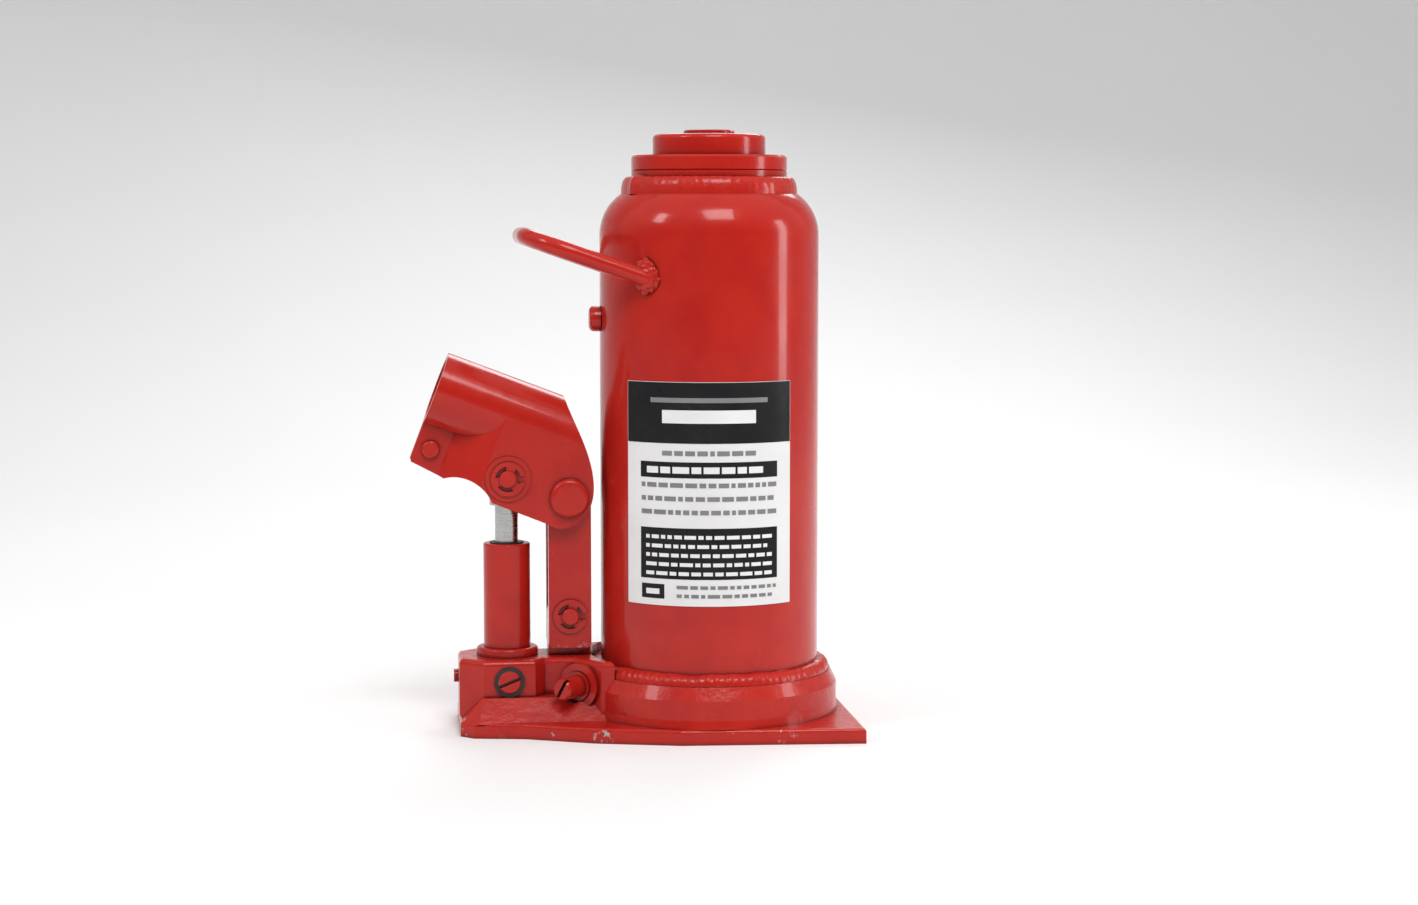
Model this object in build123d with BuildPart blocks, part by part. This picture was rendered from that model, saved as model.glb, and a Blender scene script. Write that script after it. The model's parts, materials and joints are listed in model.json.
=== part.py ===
from build123d import *
from math import cos, radians, sin, sqrt
import os

# Hydraulic bottle jack, 20 tonne class. Millimetres, +Z up.
# The origin is on the ram axis, on the underside of the base. The pump stands on the -X side.
os.makedirs("parts", exist_ok=True)

# ---------- driving dimensions ----------
JACK_HEIGHT = 280.0
CASING_R = 51.5
CASING_WALL = 3.0
CASING_FOOT = 26.0
SHOULDER_Z = 231.0
SHOULDER_R = 23.6
NECK_R = 41.0
NECK_WELD_FOOT = 254.5
NECK_WELD_TOP = 258.2
BASE_WELD_TOP = 31.6
CYLINDER_R = 36.5
CYLINDER_BORE_R = 26.0
CYLINDER_TOP = 261.0
NUT_TOP = 268.2
NUT_THREAD_R = 29.0
NUT_FOOT = 240.0
NUT_SEAL_FOOT = 244.0
NUT_SEAL_HEIGHT = 3.0
NUT_SEAL_IN = 26.6
WIPER_FOOT = 263.5
WIPER_HEIGHT = 4.5
WIPER_R = 25.6
RUNNING_FIT = 0.08
SEAL_FIT = 0.03
LOOSE_FIT = 0.3
RAM_R = 22.5
PISTON_R = 25.9
PISTON_FOOT = 44.0
PISTON_TOP = 60.0
RAM_STUD_R = 9.0
RAM_FOOT = 32.0
RAM_BORE_R = 17.5
RAM_BORE_FOOT = 146.0
RAM_THREAD_FOOT = 236.0
RETAINER_FOOT = 33.0
RETAINER_R = 24.0
PACKING_FOOT = 38.0
PACKING_R = 25.95
BACKUP_FOOT = 43.0
BACKUP_R = 25.8
SCREW_R = 15.9
SCREW_FOOT = 150.0
SCREW_HEAD_R = 12.0
SADDLE_R = 26.4
SADDLE_FOOT = 268.5
SADDLE_TOP = 278.0
STOP_RING_FOOT = 152.0
STOP_RING_TOP = 154.0
STOP_RING_R = 17.0
STOP_RING_IN = 14.3
SCREW_GROOVE_R = 14.0
SADDLE_EDGE = 2.2

PLATE_HEIGHT = 7.0
PLATE_OUTLINE = [(-119, 26), (-113, 32), (-90, 36), (-58, 50), (-20, 60), (64.5, 65)]
LEDGE_OUTLINE = [(-118, -26), (-111, -33), (-30, -33), (-30, 33), (-111, 33), (-118, 26)]
LEDGE_TAPER = 41.0
BLOCK_OUTLINE = [
    (-119, -12), (-108, -21), (-84, -21), (-79, -14.5), (-66, -17), (-54, -30), (-30, -36),
    (-30, 36), (-54, 30), (-66, 17), (-79, 14.5), (-84, 21), (-108, 21), (-119, 12),
]
COLLAR_FOOT_R = 60.5
COLLAR_TOP_R = 57.6
FLOOR_Z = 30.0
GASKET_HEIGHT = 1.0

PUMP_X = -96.0
BLOCK_TOP = 34.0
BLOCK_LEDGE = 17.0
BOSS_R = 14.5
BOSS_TOP = 38.0
PUMP_R = 11.0
PUMP_TOP = 87.0
PUMP_SEAL_R = 8.0
PUMP_SEAL_FOOT = 74.0
PUMP_SEAL_HEIGHT = 3.4
PUMP_BACKUP_HEIGHT = 1.6
PUMP_WIPER_FOOT = 83.5
PUMP_WIPER_HEIGHT = 4.0
SPIGOT_R = 9.0
SPIGOT_FOOT = 31.0
ROD_R = 5.5
ROD_FOOT = 47.0
ROD_TOP = 105.0
EYE_R = 9.3
EYE_HALF = 11.5
EYE_STEM_R = 8.0

PIN_R = 4.0
PIN_GROOVE_WIDTH = 1.2
PIN_GROOVE_DEPTH = 0.7
PLUNGER_PIN_HALF = 20.6
PLUNGER_PIN_GROOVE = 18.1
LINK_PIN_HALF = 14.6
HINGE_PIN_GROOVE = 18.2
HINGE_PIN_END = 20.2
HINGE_HEAD_R = 9.2
HINGE_HEAD_HEIGHT = 3.6
CLIP_R = 8.0
CLIP_RING_IN = 5.9
CLIP_THICKNESS = 1.0
CLIP_GAP = 6.0
PLUNGER_PIVOT = (-96.0, 118.7)
LINK_TOP_PIVOT = (-67.44, 109.39)
LINK_LOW_PIVOT = (-67.0, 53.0)
LINK_FOOT = 38.0
LINK_HALF_WIDTH = 10.0
LINK_INNER = 6.2
LINK_OUTER = 11.2
LUG_HALF = 6.0
LUG_SHIFT_X = 3.2
LUG_SHIFT_Z = 1.1

SOCKET_TILT = 20.9
SOCKET_CORNER = (-122.3, 176.4)
SOCKET_R = 17.25
SOCKET_BORE_R = 14.0
SOCKET_REACH = 92.0
SOCKET_DROP = 62.0
SOCKET_BOSS_R = 10.6
SOCKET_BOSS_RISE = 0.8
RIVET_PLACE = (7.6, 45.0)
RIVET_R = 2.6
RIVET_HEAD_R = 4.2
RIVET_HEAD_HEIGHT = 2.7
FLANGE_OUTSIDE = 3.3
FLANGE_INSIDE = 0.05

HANDLE_ROD_R = 4.0
HANDLE_HALF = 40.0
HANDLE_RISE = 19.3
HANDLE_ROOT = (-34.0, 212.0)
HANDLE_REACH = 56.6
HANDLE_BEND = 22.0
HANDLE_WELD_R = 6.3
PLUG_Z = 192.0
PLUG_STEM_R = 4.05
PLUG_HEAD_R = 6.0
PLUG_HEAD_HEIGHT = 5.3

VALVE_ANGLE = 230.0
VALVE_END = (-72.8, -33.4, 22.0)
VALVE_BOSS_R = 10.5
VALVE_BOSS_FACE = 13.0
END_PLUG_Y = 12.0
SUCTION_WAY_Z = 22.0
SUCTION_WAY_END = -44.0
PRESSURE_WAY_Z = 13.0
WAY_R = 2.0
DISCHARGE_Z = 24.0
VALVE_PLUG_R = 5.3
SUCTION_BALL = (PUMP_X, 0, 26.0)
SUCTION_BALL_R = 2.75
DISCHARGE_BALL = (PUMP_X, -8.6, DISCHARGE_Z)
DISCHARGE_BALL_R = 2.4
SPINDLE_R = 5.0
SPINDLE_COLLAR_AT = 12.0
SPINDLE_COLLAR_R = 6.9
SPINDLE_SHANK_AT = 16.0
SPINDLE_SHANK_R = 3.42
SPINDLE_NOSE_AT = 34.0
SPINDLE_NOSE_R = 2.4
SPINDLE_END = 38.2
RELEASE_PACKING_AT = 17.9
RELEASE_BALL_AT = 40.9
RELEASE_BALL_R = 2.6

LABEL_ANGLE = -97.0
LABEL_SPREAD = 46.0
LABEL_FOOT = 62.4
LABEL_TOP = 165.0
LABEL_THICKNESS = 0.25

# ---------- frames ----------
tilt = radians(SOCKET_TILT)
along_socket = Vector(cos(tilt), 0, -sin(tilt))
below_socket = Vector(-sin(tilt), 0, -cos(tilt))
socket_corner = Vector(SOCKET_CORNER[0], 0, SOCKET_CORNER[1])
socket_side = Plane(origin=socket_corner, x_dir=along_socket, z_dir=(0, 1, 0))
socket_axis = Plane(origin=socket_corner + below_socket * SOCKET_R, z_dir=along_socket)
socket_plan = Plane(
    origin=socket_corner + below_socket * SOCKET_R, x_dir=along_socket, z_dir=below_socket
)
valve_turn = radians(VALVE_ANGLE)
valve_inward = Vector(-cos(valve_turn), -sin(valve_turn), 0)
valve_end = Vector(*VALVE_END)
pump_axis = Plane(origin=(PUMP_X, 0, 0))


def finish(piece, name):
    """Labels one finished piece and writes it as its own file."""
    piece.part.label = name
    export_step(piece.part, f"parts/{name}.step")
    print(name, len(piece.part.solids()), round(piece.part.volume / 1000, 2), "cm3")


def valve_plane(depth):
    """The plane across the release valve axis, depth mm in from the spindle's outer end."""
    return Plane(origin=valve_end + valve_inward * depth, z_dir=valve_inward)


def side_plane(place, y):
    """A plane facing +Y through the point (x, z), at the given y."""
    return Plane(origin=(place[0], y, place[1]), x_dir=(1, 0, 0), z_dir=(0, 1, 0))


def rod(plane, radius, length, inner=0.0):
    """A round bar, or a tube, that starts on a plane and runs along its normal."""
    with BuildPart() as piece:
        with BuildSketch(plane):
            Circle(radius)
            if inner > 0:
                Circle(inner, mode=Mode.SUBTRACT)
        extrude(amount=length)
    return piece


def bar(plane, radius, length, mode=Mode.ADD):
    """Adds a round bar to, or drills it from, the part being built."""
    with Locations(plane.location):
        Cylinder(radius, length, align=(Align.CENTER, Align.CENTER, Align.MIN), mode=mode)


def drill(start, end, radius):
    """Drills an oil way between two points of the part being built."""
    run = Vector(*end) - Vector(*start)
    bar(Plane(origin=start, z_dir=run), radius, run.length, Mode.SUBTRACT)


def turned(outline):
    """Revolves a closed outline of (radius, height) points about the ram axis."""
    with BuildPart() as piece:
        with BuildSketch(Plane.XZ):
            with BuildLine():
                Polyline(*outline, close=True)
            make_face()
        revolve(axis=Axis.Z)
    return piece


# ---------- base ----------
def make_base_casting():
    with BuildPart() as base:
        with BuildSketch():
            with BuildLine():
                Polyline(*PLATE_OUTLINE)
                Line(PLATE_OUTLINE[-1], (PLATE_OUTLINE[-1][0], 0))
                mirror(about=Plane.XZ)
                Line(PLATE_OUTLINE[0], (PLATE_OUTLINE[0][0], -PLATE_OUTLINE[0][1]))
            make_face()
        extrude(amount=PLATE_HEIGHT)
        fillet(base.edges().group_by(Axis.Z)[-1], 1.5)
        with BuildSketch(Plane.XY.offset(PLATE_HEIGHT - 0.5)):
            Polygon(*LEDGE_OUTLINE, align=None)
        extrude(amount=BLOCK_LEDGE - PLATE_HEIGHT + 0.5, taper=LEDGE_TAPER)
        with BuildSketch(Plane.XY.offset(PLATE_HEIGHT)):
            Polygon(*BLOCK_OUTLINE, align=None)
        extrude(amount=BLOCK_TOP - PLATE_HEIGHT)
        fillet(base.edges().group_by(Axis.Z)[-1], 2.5)
        bar(pump_axis.offset(BLOCK_LEDGE), BOSS_R, BOSS_TOP - BLOCK_LEDGE)
        fillet(base.edges().group_by(Axis.Z)[-1], 1.5)
        add(turned([(0, 0), (COLLAR_FOOT_R - 1, 0), (COLLAR_FOOT_R - 1, PLATE_HEIGHT - 1),
                    (COLLAR_FOOT_R + 0.6, PLATE_HEIGHT), (COLLAR_FOOT_R, 11), (COLLAR_FOOT_R, 20),
                    (COLLAR_TOP_R, CASING_FOOT), (0, CASING_FOOT)]).part)
        bar(valve_plane(VALVE_BOSS_FACE), VALVE_BOSS_R, 20)
        # the link's lug, a plate that stands on the block
        with BuildSketch(Plane.XZ.offset(-LUG_HALF)):
            with Locations((LINK_LOW_PIVOT[0], LINK_LOW_PIVOT[1] / 2 + 8)):
                Rectangle(2 * LINK_HALF_WIDTH, LINK_LOW_PIVOT[1] - 16)
            with Locations(LINK_LOW_PIVOT):
                Circle(LINK_HALF_WIDTH)
        extrude(amount=2 * LUG_HALF)
        # room for the casing and its weld, then the boss that the casing slips over
        with BuildSketch(Plane.XY.offset(CASING_FOOT)):
            Circle(COLLAR_TOP_R - 0.25)
        extrude(amount=50, mode=Mode.SUBTRACT)
        with BuildSketch(Plane.XY.offset(CASING_FOOT)):
            Circle(CASING_R - CASING_WALL - 0.3)
        extrude(amount=FLOOR_Z - CASING_FOOT)
        # the lug's pivot hole is long, because the pump rod moves straight and the link swings
        with BuildSketch(Plane.XZ.offset(-LUG_HALF - 1)):
            with Locations((LINK_LOW_PIVOT[0] - LUG_SHIFT_X / 2, LINK_LOW_PIVOT[1] + LUG_SHIFT_Z / 2)):
                SlotCenterToCenter(LUG_SHIFT_X + 0.6, LUG_SHIFT_Z + 2 * (PIN_R + LOOSE_FIT))
        extrude(amount=2 * LUG_HALF + 2, mode=Mode.SUBTRACT)
        cut_pump_ways()
        cut_valve_ways()
    return base


def cut_pump_ways():
    """The pump's well, its suction and pressure ways, and the plug holes that close them."""
    bar(pump_axis.offset(FLOOR_Z), SPIGOT_R + 0.02, BOSS_TOP, Mode.SUBTRACT)
    bar(pump_axis.offset(24), 3.4, 8, Mode.SUBTRACT)
    drill((PUMP_X, 0, 20), (PUMP_X, 0, 25), WAY_R)
    drill((-125, END_PLUG_Y, SUCTION_WAY_Z), (SUCTION_WAY_END, END_PLUG_Y, SUCTION_WAY_Z), WAY_R)
    drill((-125, END_PLUG_Y, SUCTION_WAY_Z), (-112, END_PLUG_Y, SUCTION_WAY_Z), 3.2)
    drill((PUMP_X, END_PLUG_Y, SUCTION_WAY_Z), (PUMP_X, 0, SUCTION_WAY_Z - 0.5), WAY_R)
    drill((SUCTION_WAY_END, END_PLUG_Y, 21), (SUCTION_WAY_END, END_PLUG_Y, 35), WAY_R)
    drill((PUMP_X, -30, DISCHARGE_Z), (PUMP_X, -12, DISCHARGE_Z), VALVE_PLUG_R + 0.05)
    drill((PUMP_X, -30, DISCHARGE_Z), (PUMP_X, -20, DISCHARGE_Z), 7.0)
    drill((PUMP_X, -13, DISCHARGE_Z), (PUMP_X, -6, DISCHARGE_Z), 3.0)
    drill((PUMP_X, -7, 26), (PUMP_X, 0, 26.5), 1.3)
    drill((PUMP_X, -8, DISCHARGE_Z - 1), (-57, -3, PRESSURE_WAY_Z), 1.2)
    drill((-63, -3.2, PRESSURE_WAY_Z - 0.2), (0, 0, PRESSURE_WAY_Z), WAY_R)
    drill((0, 0, 12), (0, 0, 35), 3.0)


def cut_valve_ways():
    """The release valve's stepped bore, the scoop in front of it, its seat and its return way."""
    bar(valve_plane(-20), 7.4, 20 + VALVE_BOSS_FACE, Mode.SUBTRACT)
    bar(valve_plane(11), 7.2, 8.5, Mode.SUBTRACT)
    bar(valve_plane(19), 3.5, 15.5, Mode.SUBTRACT)
    bar(valve_plane(34), 2.95, 9.7, Mode.SUBTRACT)
    bar(valve_plane(43), 1.4, 3.5, Mode.SUBTRACT)
    drill((-44.5, 0.3, 22), (-44.5, -2.6, 12.5), 1.3)
    drill((-47.0, -6.0, 22), (-44.0, -6.0, 35), 1.6)


# ---------- tank, cylinder and ram ----------
def shoulder_height(radius, offset=0.0):
    """The height of the casing's domed shoulder at a radius, offset mm inside its outer face."""
    reach = radius - (CASING_R - SHOULDER_R)
    return SHOULDER_Z + sqrt((SHOULDER_R - offset) ** 2 - reach ** 2)


def make_reservoir_casing():
    inner = CASING_R - CASING_WALL
    mouth = CYLINDER_R + 0.1
    low_turn = radians(28)
    centre = CASING_R - SHOULDER_R
    with BuildPart() as casing:
        with BuildSketch(Plane.XZ):
            with BuildLine():
                Line((inner, CASING_FOOT), (CASING_R, CASING_FOOT))
                Line((CASING_R, CASING_FOOT), (CASING_R, SHOULDER_Z))
                middle = (centre + SHOULDER_R * cos(low_turn), SHOULDER_Z + SHOULDER_R * sin(low_turn))
                ThreePointArc((CASING_R, SHOULDER_Z), middle, (mouth, shoulder_height(mouth)))
                Line((mouth, shoulder_height(mouth)), (mouth, shoulder_height(mouth, CASING_WALL)))
                small = SHOULDER_R - CASING_WALL
                middle = (centre + small * cos(low_turn), SHOULDER_Z + small * sin(low_turn))
                ThreePointArc((mouth, shoulder_height(mouth, CASING_WALL)), middle, (inner, SHOULDER_Z))
                Line((inner, SHOULDER_Z), (inner, CASING_FOOT))
            make_face()
        revolve(axis=Axis.Z)
        drill((-60, 0, PLUG_Z), (-40, 0, PLUG_Z), PLUG_STEM_R + 0.05)
    return casing


def make_neck_weld_bead():
    with BuildPart() as bead:
        with BuildSketch(Plane.XZ):
            with BuildLine():
                foot = shoulder_height(CYLINDER_R)
                rim = shoulder_height(NECK_R)
                middle = shoulder_height((CYLINDER_R + NECK_R) / 2)
                ThreePointArc((CYLINDER_R, foot), ((CYLINDER_R + NECK_R) / 2, middle), (NECK_R, rim))
                Line((NECK_R, rim), (NECK_R + 0.4, NECK_WELD_FOOT))
                ThreePointArc((NECK_R + 0.4, NECK_WELD_FOOT), (NECK_R - 0.6, 257.0),
                              (CYLINDER_R, NECK_WELD_TOP))
                Line((CYLINDER_R, NECK_WELD_TOP), (CYLINDER_R, foot))
            make_face()
        revolve(axis=Axis.Z)
    return bead


def make_base_weld_bead():
    foot = CASING_FOOT
    with BuildPart() as bead:
        with BuildSketch(Plane.XZ):
            with BuildLine():
                Line((CASING_R, foot), (COLLAR_TOP_R - 0.4, foot))
                ThreePointArc((COLLAR_TOP_R - 0.4, foot), (55.4, 29.7), (CASING_R, BASE_WELD_TOP))
                Line((CASING_R, BASE_WELD_TOP), (CASING_R, foot))
            make_face()
        revolve(axis=Axis.Z)
    return bead


def make_cylinder():
    foot = FLOOR_Z + GASKET_HEIGHT
    cylinder = turned([(CYLINDER_BORE_R, foot), (CYLINDER_R, foot), (CYLINDER_R, CYLINDER_TOP),
                       (NUT_THREAD_R, CYLINDER_TOP), (NUT_THREAD_R, NUT_FOOT),
                       (CYLINDER_BORE_R, NUT_FOOT)])
    return cylinder


def make_top_nut():
    bore = RAM_R + RUNNING_FIT
    thread = NUT_THREAD_R
    return turned([
        (bore, NUT_FOOT), (thread, NUT_FOOT), (thread, NUT_SEAL_FOOT), (NUT_SEAL_IN, NUT_SEAL_FOOT),
        (NUT_SEAL_IN, NUT_SEAL_FOOT + NUT_SEAL_HEIGHT), (thread, NUT_SEAL_FOOT + NUT_SEAL_HEIGHT),
        (thread, CYLINDER_TOP), (CYLINDER_R - 0.5, CYLINDER_TOP), (CYLINDER_R, 261.6),
        (CYLINDER_R, 267.2), (CYLINDER_R - 1.0, NUT_TOP), (WIPER_R, NUT_TOP), (WIPER_R, WIPER_FOOT),
        (bore, WIPER_FOOT),
    ])


def make_ram():
    return turned([
        (0, RAM_FOOT), (RAM_STUD_R, RAM_FOOT), (RAM_STUD_R, PISTON_FOOT), (PISTON_R, PISTON_FOOT),
        (PISTON_R, PISTON_TOP), (RAM_R, PISTON_TOP), (RAM_R, 267.4), (RAM_R - 0.8, NUT_TOP),
        (SCREW_R + RUNNING_FIT, NUT_TOP), (SCREW_R + RUNNING_FIT, RAM_THREAD_FOOT),
        (RAM_BORE_R, RAM_THREAD_FOOT), (RAM_BORE_R, RAM_BORE_FOOT), (0, RAM_BORE_FOOT),
    ])


def make_extension_screw():
    groove = SCREW_GROOVE_R
    return turned([
        (0, SCREW_FOOT), (SCREW_R - 1, SCREW_FOOT), (SCREW_R - 0.4, STOP_RING_FOOT - 0.3),
        (groove, STOP_RING_FOOT - 0.3), (groove, STOP_RING_TOP + 0.3), (SCREW_R, STOP_RING_TOP + 0.3),
        (SCREW_R, SADDLE_FOOT), (SCREW_HEAD_R, SADDLE_FOOT), (SCREW_HEAD_R, JACK_HEIGHT - 0.6),
        (SCREW_HEAD_R - 0.6, JACK_HEIGHT), (0, JACK_HEIGHT),
    ])


def make_saddle():
    with BuildPart() as saddle:
        with BuildSketch(Plane.XY.offset(SADDLE_FOOT)):
            Circle(SADDLE_R)
            Circle(SCREW_HEAD_R, mode=Mode.SUBTRACT)
        extrude(amount=SADDLE_TOP - SADDLE_FOOT)
        rims = saddle.edges().filter_by(GeomType.CIRCLE).group_by(SortBy.RADIUS)[-1]
        fillet(rims.sort_by(Axis.Z)[-1], SADDLE_EDGE)
    return saddle


# ---------- pump ----------
def make_pump_cylinder():
    with BuildPart() as barrel:
        bar(pump_axis.offset(BOSS_TOP), PUMP_R, PUMP_TOP - BOSS_TOP)
        fillet(barrel.edges().group_by(Axis.Z)[-1], 0.8)
        bar(pump_axis.offset(SPIGOT_FOOT), SPIGOT_R, BOSS_TOP - SPIGOT_FOOT)
        bar(pump_axis.offset(FLOOR_Z), ROD_R + RUNNING_FIT, 70, Mode.SUBTRACT)
        seal_room = PUMP_SEAL_HEIGHT + PUMP_BACKUP_HEIGHT
        bar(pump_axis.offset(PUMP_SEAL_FOOT), PUMP_SEAL_R, seal_room, Mode.SUBTRACT)
        bar(pump_axis.offset(PUMP_WIPER_FOOT), PUMP_SEAL_R, 10, Mode.SUBTRACT)
    return barrel


def make_pump_plunger():
    with BuildPart() as plunger:
        bar(pump_axis.offset(ROD_FOOT), ROD_R, ROD_TOP - ROD_FOOT)
        chamfer(plunger.edges().group_by(Axis.Z)[0], 0.8)
        bar(pump_axis.offset(ROD_TOP), EYE_STEM_R, PLUNGER_PIVOT[1] - ROD_TOP)
        bar(side_plane(PLUNGER_PIVOT, -EYE_HALF), EYE_R, 2 * EYE_HALF)
        bar(side_plane(PLUNGER_PIVOT, -EYE_HALF - 1), PIN_R + RUNNING_FIT, 2 * EYE_HALF + 2, Mode.SUBTRACT)
    return plunger


def make_handle_socket():
    """A folded plate: a tube for the handle whose two edges hang down as pivot flanges."""
    with BuildPart() as socket:
        bar(socket_axis, SOCKET_R, SOCKET_REACH)
        with BuildSketch(socket_plan):
            with BuildLine():
                Polyline((0, 0), (0, FLANGE_OUTSIDE), (15, FLANGE_OUTSIDE), (34.5, SOCKET_R),
                         (SOCKET_REACH, SOCKET_R), (SOCKET_REACH, 0))
                mirror(about=Plane.XZ)
            make_face()
        extrude(amount=SOCKET_DROP - SOCKET_R)
        with BuildSketch(socket_side):
            with BuildLine():
                Line((0, 0), (57, 0))
                Spline((57, 0), (68.9, 13.1), (82, 30), (85.4, 46.9), (78.4, 56.9), (70, 58))
                Line((70, 58), (42.1, 57.6))
                ThreePointArc((42.1, 57.6), (29, 51.7), (18, 55.6))
                Polyline((18, 55.6), (1.1, 53.6), (0, 52), (0, 0))
            make_face()
        extrude(amount=SOCKET_R + 1, both=True, mode=Mode.INTERSECT)
        with BuildSketch(socket_plan):
            with BuildLine():
                Polyline((-1, 0), (-1, FLANGE_INSIDE), (17, FLANGE_INSIDE), (36, SOCKET_BORE_R),
                         (SOCKET_REACH, SOCKET_BORE_R), (SOCKET_REACH, 0))
                mirror(about=Plane.XZ)
            make_face()
        extrude(amount=SOCKET_DROP - SOCKET_R, mode=Mode.SUBTRACT)
        bar(socket_axis.offset(-1), SOCKET_BORE_R, SOCKET_REACH + 2, Mode.SUBTRACT)
        # pressed bosses round the plunger pivot
        for side in (-1, 1):
            with BuildSketch(Plane(origin=(PLUNGER_PIVOT[0], side * SOCKET_R, PLUNGER_PIVOT[1]),
                                   x_dir=(1, 0, 0), z_dir=(0, side, 0))):
                Circle(SOCKET_BOSS_R)
            extrude(amount=SOCKET_BOSS_RISE)
        for pivot in (PLUNGER_PIVOT, LINK_TOP_PIVOT):
            bar(side_plane(pivot, -30), PIN_R, 60, Mode.SUBTRACT)
        with BuildSketch(socket_side.offset(-30)):
            with Locations(RIVET_PLACE):
                Circle(RIVET_R)
        extrude(amount=60, mode=Mode.SUBTRACT)
    return socket


def make_socket_rivet():
    place = socket_side.offset(-6.0)
    with BuildPart() as rivet:
        with BuildSketch(place):
            with Locations(RIVET_PLACE):
                Circle(RIVET_R)
        extrude(amount=12.0)
        for start in (-FLANGE_OUTSIDE - RIVET_HEAD_HEIGHT, FLANGE_OUTSIDE):
            with BuildSketch(socket_side.offset(start)):
                with Locations(RIVET_PLACE):
                    Circle(RIVET_HEAD_R)
            extrude(amount=RIVET_HEAD_HEIGHT)
        heads = rivet.edges().filter_by(GeomType.CIRCLE).group_by(SortBy.RADIUS)[-1].sort_by(Axis.Y)
        fillet([heads[0], heads[-1]], 1.4)
    return rivet


def make_grooved_pin(pivot, half, groove_at):
    """A pivot pin with a ring groove near each end."""
    with BuildPart() as pin:
        bar(side_plane(pivot, -half), PIN_R, 2 * half)
        chamfer(pin.edges().filter_by(GeomType.CIRCLE), 0.5)
        for start in (-groove_at - PIN_GROOVE_WIDTH, groove_at):
            with BuildSketch(side_plane(pivot, start)):
                Circle(PIN_R + 1)
                Circle(PIN_R - PIN_GROOVE_DEPTH, mode=Mode.SUBTRACT)
            extrude(amount=PIN_GROOVE_WIDTH, mode=Mode.SUBTRACT)
    return pin


def make_pin_clips(pivot, groove_at):
    """Two open snap rings, each gripping its pin by three prongs."""
    with BuildPart() as clips:
        for start in (-groove_at - 0.1 - CLIP_THICKNESS, groove_at + 0.1):
            with BuildSketch(side_plane(pivot, start)):
                Circle(CLIP_R)
                Circle(CLIP_RING_IN, mode=Mode.SUBTRACT)
                with PolarLocations(0, 3, 45):
                    with Locations((5.0, 0)):
                        Rectangle(3.4, 4.2)
                Circle(PIN_R - 0.65, mode=Mode.SUBTRACT)
                with Locations((CLIP_GAP, 0)):
                    Rectangle(CLIP_GAP, 3.0, mode=Mode.SUBTRACT)
            extrude(amount=CLIP_THICKNESS)
    return clips


def make_link_plates():
    with BuildPart() as plates:
        for start in (-LINK_OUTER, LINK_INNER):
            with BuildSketch(side_plane(LINK_LOW_PIVOT, start)):
                with BuildLine():
                    top = LINK_LOW_PIVOT[1] - LINK_TOP_PIVOT[1]
                    foot = LINK_LOW_PIVOT[1] - LINK_FOOT
                    wide = LINK_HALF_WIDTH
                    Polyline((-wide, top), (-wide, foot - 1.5), (1.5 - wide, foot), (wide - 1.5, foot),
                             (wide, foot - 1.5), (wide, top))
                    ThreePointArc((wide, top), (0, top - wide), (-wide, top))
                make_face()
            extrude(amount=LINK_OUTER - LINK_INNER)
        bar(side_plane(LINK_TOP_PIVOT, -30), PIN_R + RUNNING_FIT, 60, Mode.SUBTRACT)
        bar(side_plane(LINK_LOW_PIVOT, -30), PIN_R, 60, Mode.SUBTRACT)
    return plates


def make_link_top_pin():
    """The socket's hinge pin for the link, with a large domed head at the front."""
    with BuildPart() as pin:
        bar(side_plane(LINK_TOP_PIVOT, -SOCKET_R), PIN_R, SOCKET_R + HINGE_PIN_END)
        bar(side_plane(LINK_TOP_PIVOT, -SOCKET_R - HINGE_HEAD_HEIGHT), HINGE_HEAD_R, HINGE_HEAD_HEIGHT)
        fillet(pin.edges().filter_by(GeomType.CIRCLE).sort_by(Axis.Y)[0], 2.4)
        with BuildSketch(side_plane(LINK_TOP_PIVOT, HINGE_PIN_GROOVE)):
            Circle(PIN_R + 1)
            Circle(PIN_R - PIN_GROOVE_DEPTH, mode=Mode.SUBTRACT)
        extrude(amount=PIN_GROOVE_WIDTH, mode=Mode.SUBTRACT)
    return pin


def make_link_top_clip():
    with BuildPart() as clip:
        with BuildSketch(side_plane(LINK_TOP_PIVOT, HINGE_PIN_GROOVE + 0.1)):
            Circle(CLIP_R)
            Circle(PIN_R - 0.65, mode=Mode.SUBTRACT)
            with Locations((CLIP_GAP, 0)):
                Rectangle(CLIP_GAP, 4.0, mode=Mode.SUBTRACT)
        extrude(amount=CLIP_THICKNESS)
    return clip


# ---------- valves ----------
def make_release_spindle():
    with BuildPart() as spindle:
        bar(valve_plane(0), SPINDLE_R, SPINDLE_COLLAR_AT)
        rims = spindle.edges().filter_by(GeomType.CIRCLE)
        chamfer(rims.sort_by(Axis(valve_end, valve_inward))[0], 0.8)
        bar(valve_plane(SPINDLE_COLLAR_AT), SPINDLE_COLLAR_R, SPINDLE_SHANK_AT - SPINDLE_COLLAR_AT)
        bar(valve_plane(SPINDLE_SHANK_AT), SPINDLE_SHANK_R, SPINDLE_NOSE_AT - SPINDLE_SHANK_AT)
        bar(valve_plane(SPINDLE_NOSE_AT), SPINDLE_NOSE_R, SPINDLE_END - SPINDLE_NOSE_AT)
        # the slot that the notched end of the pump handle turns
        with BuildSketch(valve_plane(-1)):
            Rectangle(1.6, 12, rotation=30)
        extrude(amount=4.0, mode=Mode.SUBTRACT)
    return spindle


def make_ball(centre, radius):
    with BuildPart() as ball:
        with Locations(centre):
            Sphere(radius)
    return ball


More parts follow.
